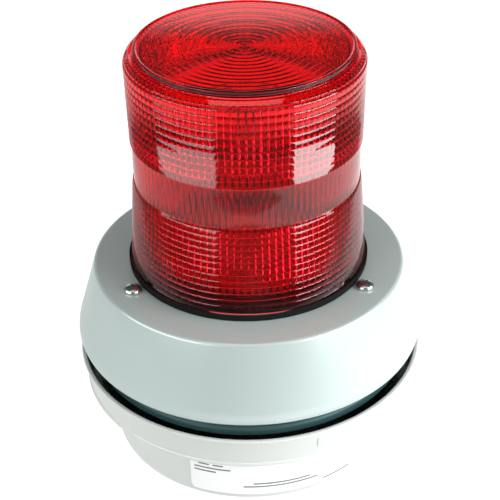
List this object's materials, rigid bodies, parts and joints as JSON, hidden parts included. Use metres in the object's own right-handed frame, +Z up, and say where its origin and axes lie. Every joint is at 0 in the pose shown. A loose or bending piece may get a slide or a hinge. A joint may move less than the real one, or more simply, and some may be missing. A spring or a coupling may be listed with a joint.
{
  "type": "horn strobe",
  "caption": "Horn strobe: ribbed red lens over a xenon tube on a round grey canopy, with an annular horn mouth above a round base.",
  "frame": {"origin": "centre of the underside of the base gasket", "axes": "+Z up along the axis of symmetry, -Y towards the front of the picture, +X to its right"},
  "size_m": [0.1724, 0.1724, 0.213],
  "materials": {
    "white_enamel": "smooth white enamel on a casting",
    "grey_enamel": "satin silver-grey enamel",
    "flare_enamel": "gloss dark grey enamel",
    "black_rubber": "matt",
    "label_film": "satin film, left blank",
    "zinc_steel": "bright zinc plating",
    "diaphragm_steel": "bright stainless sheet",
    "soft_iron": "bare soft iron",
    "laminations": "oiled laminations",
    "copper_winding": "varnished copper wire",
    "brass": "turned",
    "spring_bronze": "sheet",
    "phenolic": "moulded phenolic",
    "black_plastic": "moulded",
    "fibreglass": "green solder resist",
    "capacitor_sleeve": "shrunk sleeve",
    "transformer_varnish": "varnished tape",
    "coil_epoxy": "epoxy dipped",
    "terminal_green": "moulded",
    "steatite": "unglazed ceramic",
    "quartz_glass": "clear",
    "red_polycarbonate": "clear red, ribbed inside and out",
    "nylon": "natural",
    "green_screw": "green-dyed steel",
    "lead_line_sleeve": "wire insulation",
    "lead_neutral_sleeve": "wire insulation"
  },
  "bodies": {
    "base": {"base_housing": "white_enamel", "mount_gasket": "black_rubber", "blank_label": "label_film", "canopy": "grey_enamel", "horn_flare": "flare_enamel", "horn_deck": "zinc_steel", "diaphragm_seat": "zinc_steel", "clamp_ring": "zinc_steel", "magnet_core": "laminations", "coil": "copper_winding", "core_bracket": "zinc_steel", "contact_block": "phenolic", "contact_spring": "spring_bronze", "strobe_tray": "black_plastic", "strobe_board": "fibreglass", "capacitor": "capacitor_sleeve", "transformer": "transformer_varnish", "trigger_coil": "coil_epoxy", "board_terminal": "terminal_green", "tube_plate": "black_plastic", "tube_socket": "steatite", "flash_tube": "quartz_glass", "lens_gasket": "black_rubber", "terminal_block": "black_plastic", "wire_tube": "nylon", "lead_line": "lead_line_sleeve", "lead_neutral": "lead_neutral_sleeve", "ground_screw": "green_screw", "canopy_screw_1": "zinc_steel", "canopy_screw_2": "zinc_steel", "canopy_screw_3": "zinc_steel", "spacer_1": "zinc_steel", "spacer_2": "zinc_steel", "spacer_3": "zinc_steel", "clamp_screw_1": "zinc_steel", "clamp_screw_2": "zinc_steel", "clamp_screw_3": "zinc_steel", "clamp_screw_4": "zinc_steel", "bracket_screw_1": "zinc_steel", "bracket_screw_2": "zinc_steel", "board_screw_1": "zinc_steel", "board_screw_2": "zinc_steel", "board_screw_3": "zinc_steel", "terminal_screw_1": "zinc_steel", "terminal_screw_2": "zinc_steel", "terminal_screw_3": "zinc_steel"},
    "lens": {"lens": "red_polycarbonate"},
    "diaphragm": {"diaphragm": "diaphragm_steel", "armature": "soft_iron"},
    "adjuster": {"adjust_screw": "brass"}
  },
  "joints": [
    {"name": "lens_lift", "type": "slide", "parent": "base", "child": "lens", "axis": [0, 0, 1], "range_m": [0, 0.115]},
    {"name": "diaphragm_vibration", "type": "slide", "parent": "base", "child": "diaphragm", "axis": [0, 0, 1], "range_m": [-0.0002, 0.0002], "stiffness_N_per_m": 26000},
    {"name": "tone_adjustment", "type": "hinge", "parent": "base", "child": "adjuster", "pos_m": [0, -0.036, 0.0286], "axis": [0, 0, -1], "range_deg": [-360, 360]}
  ]
}
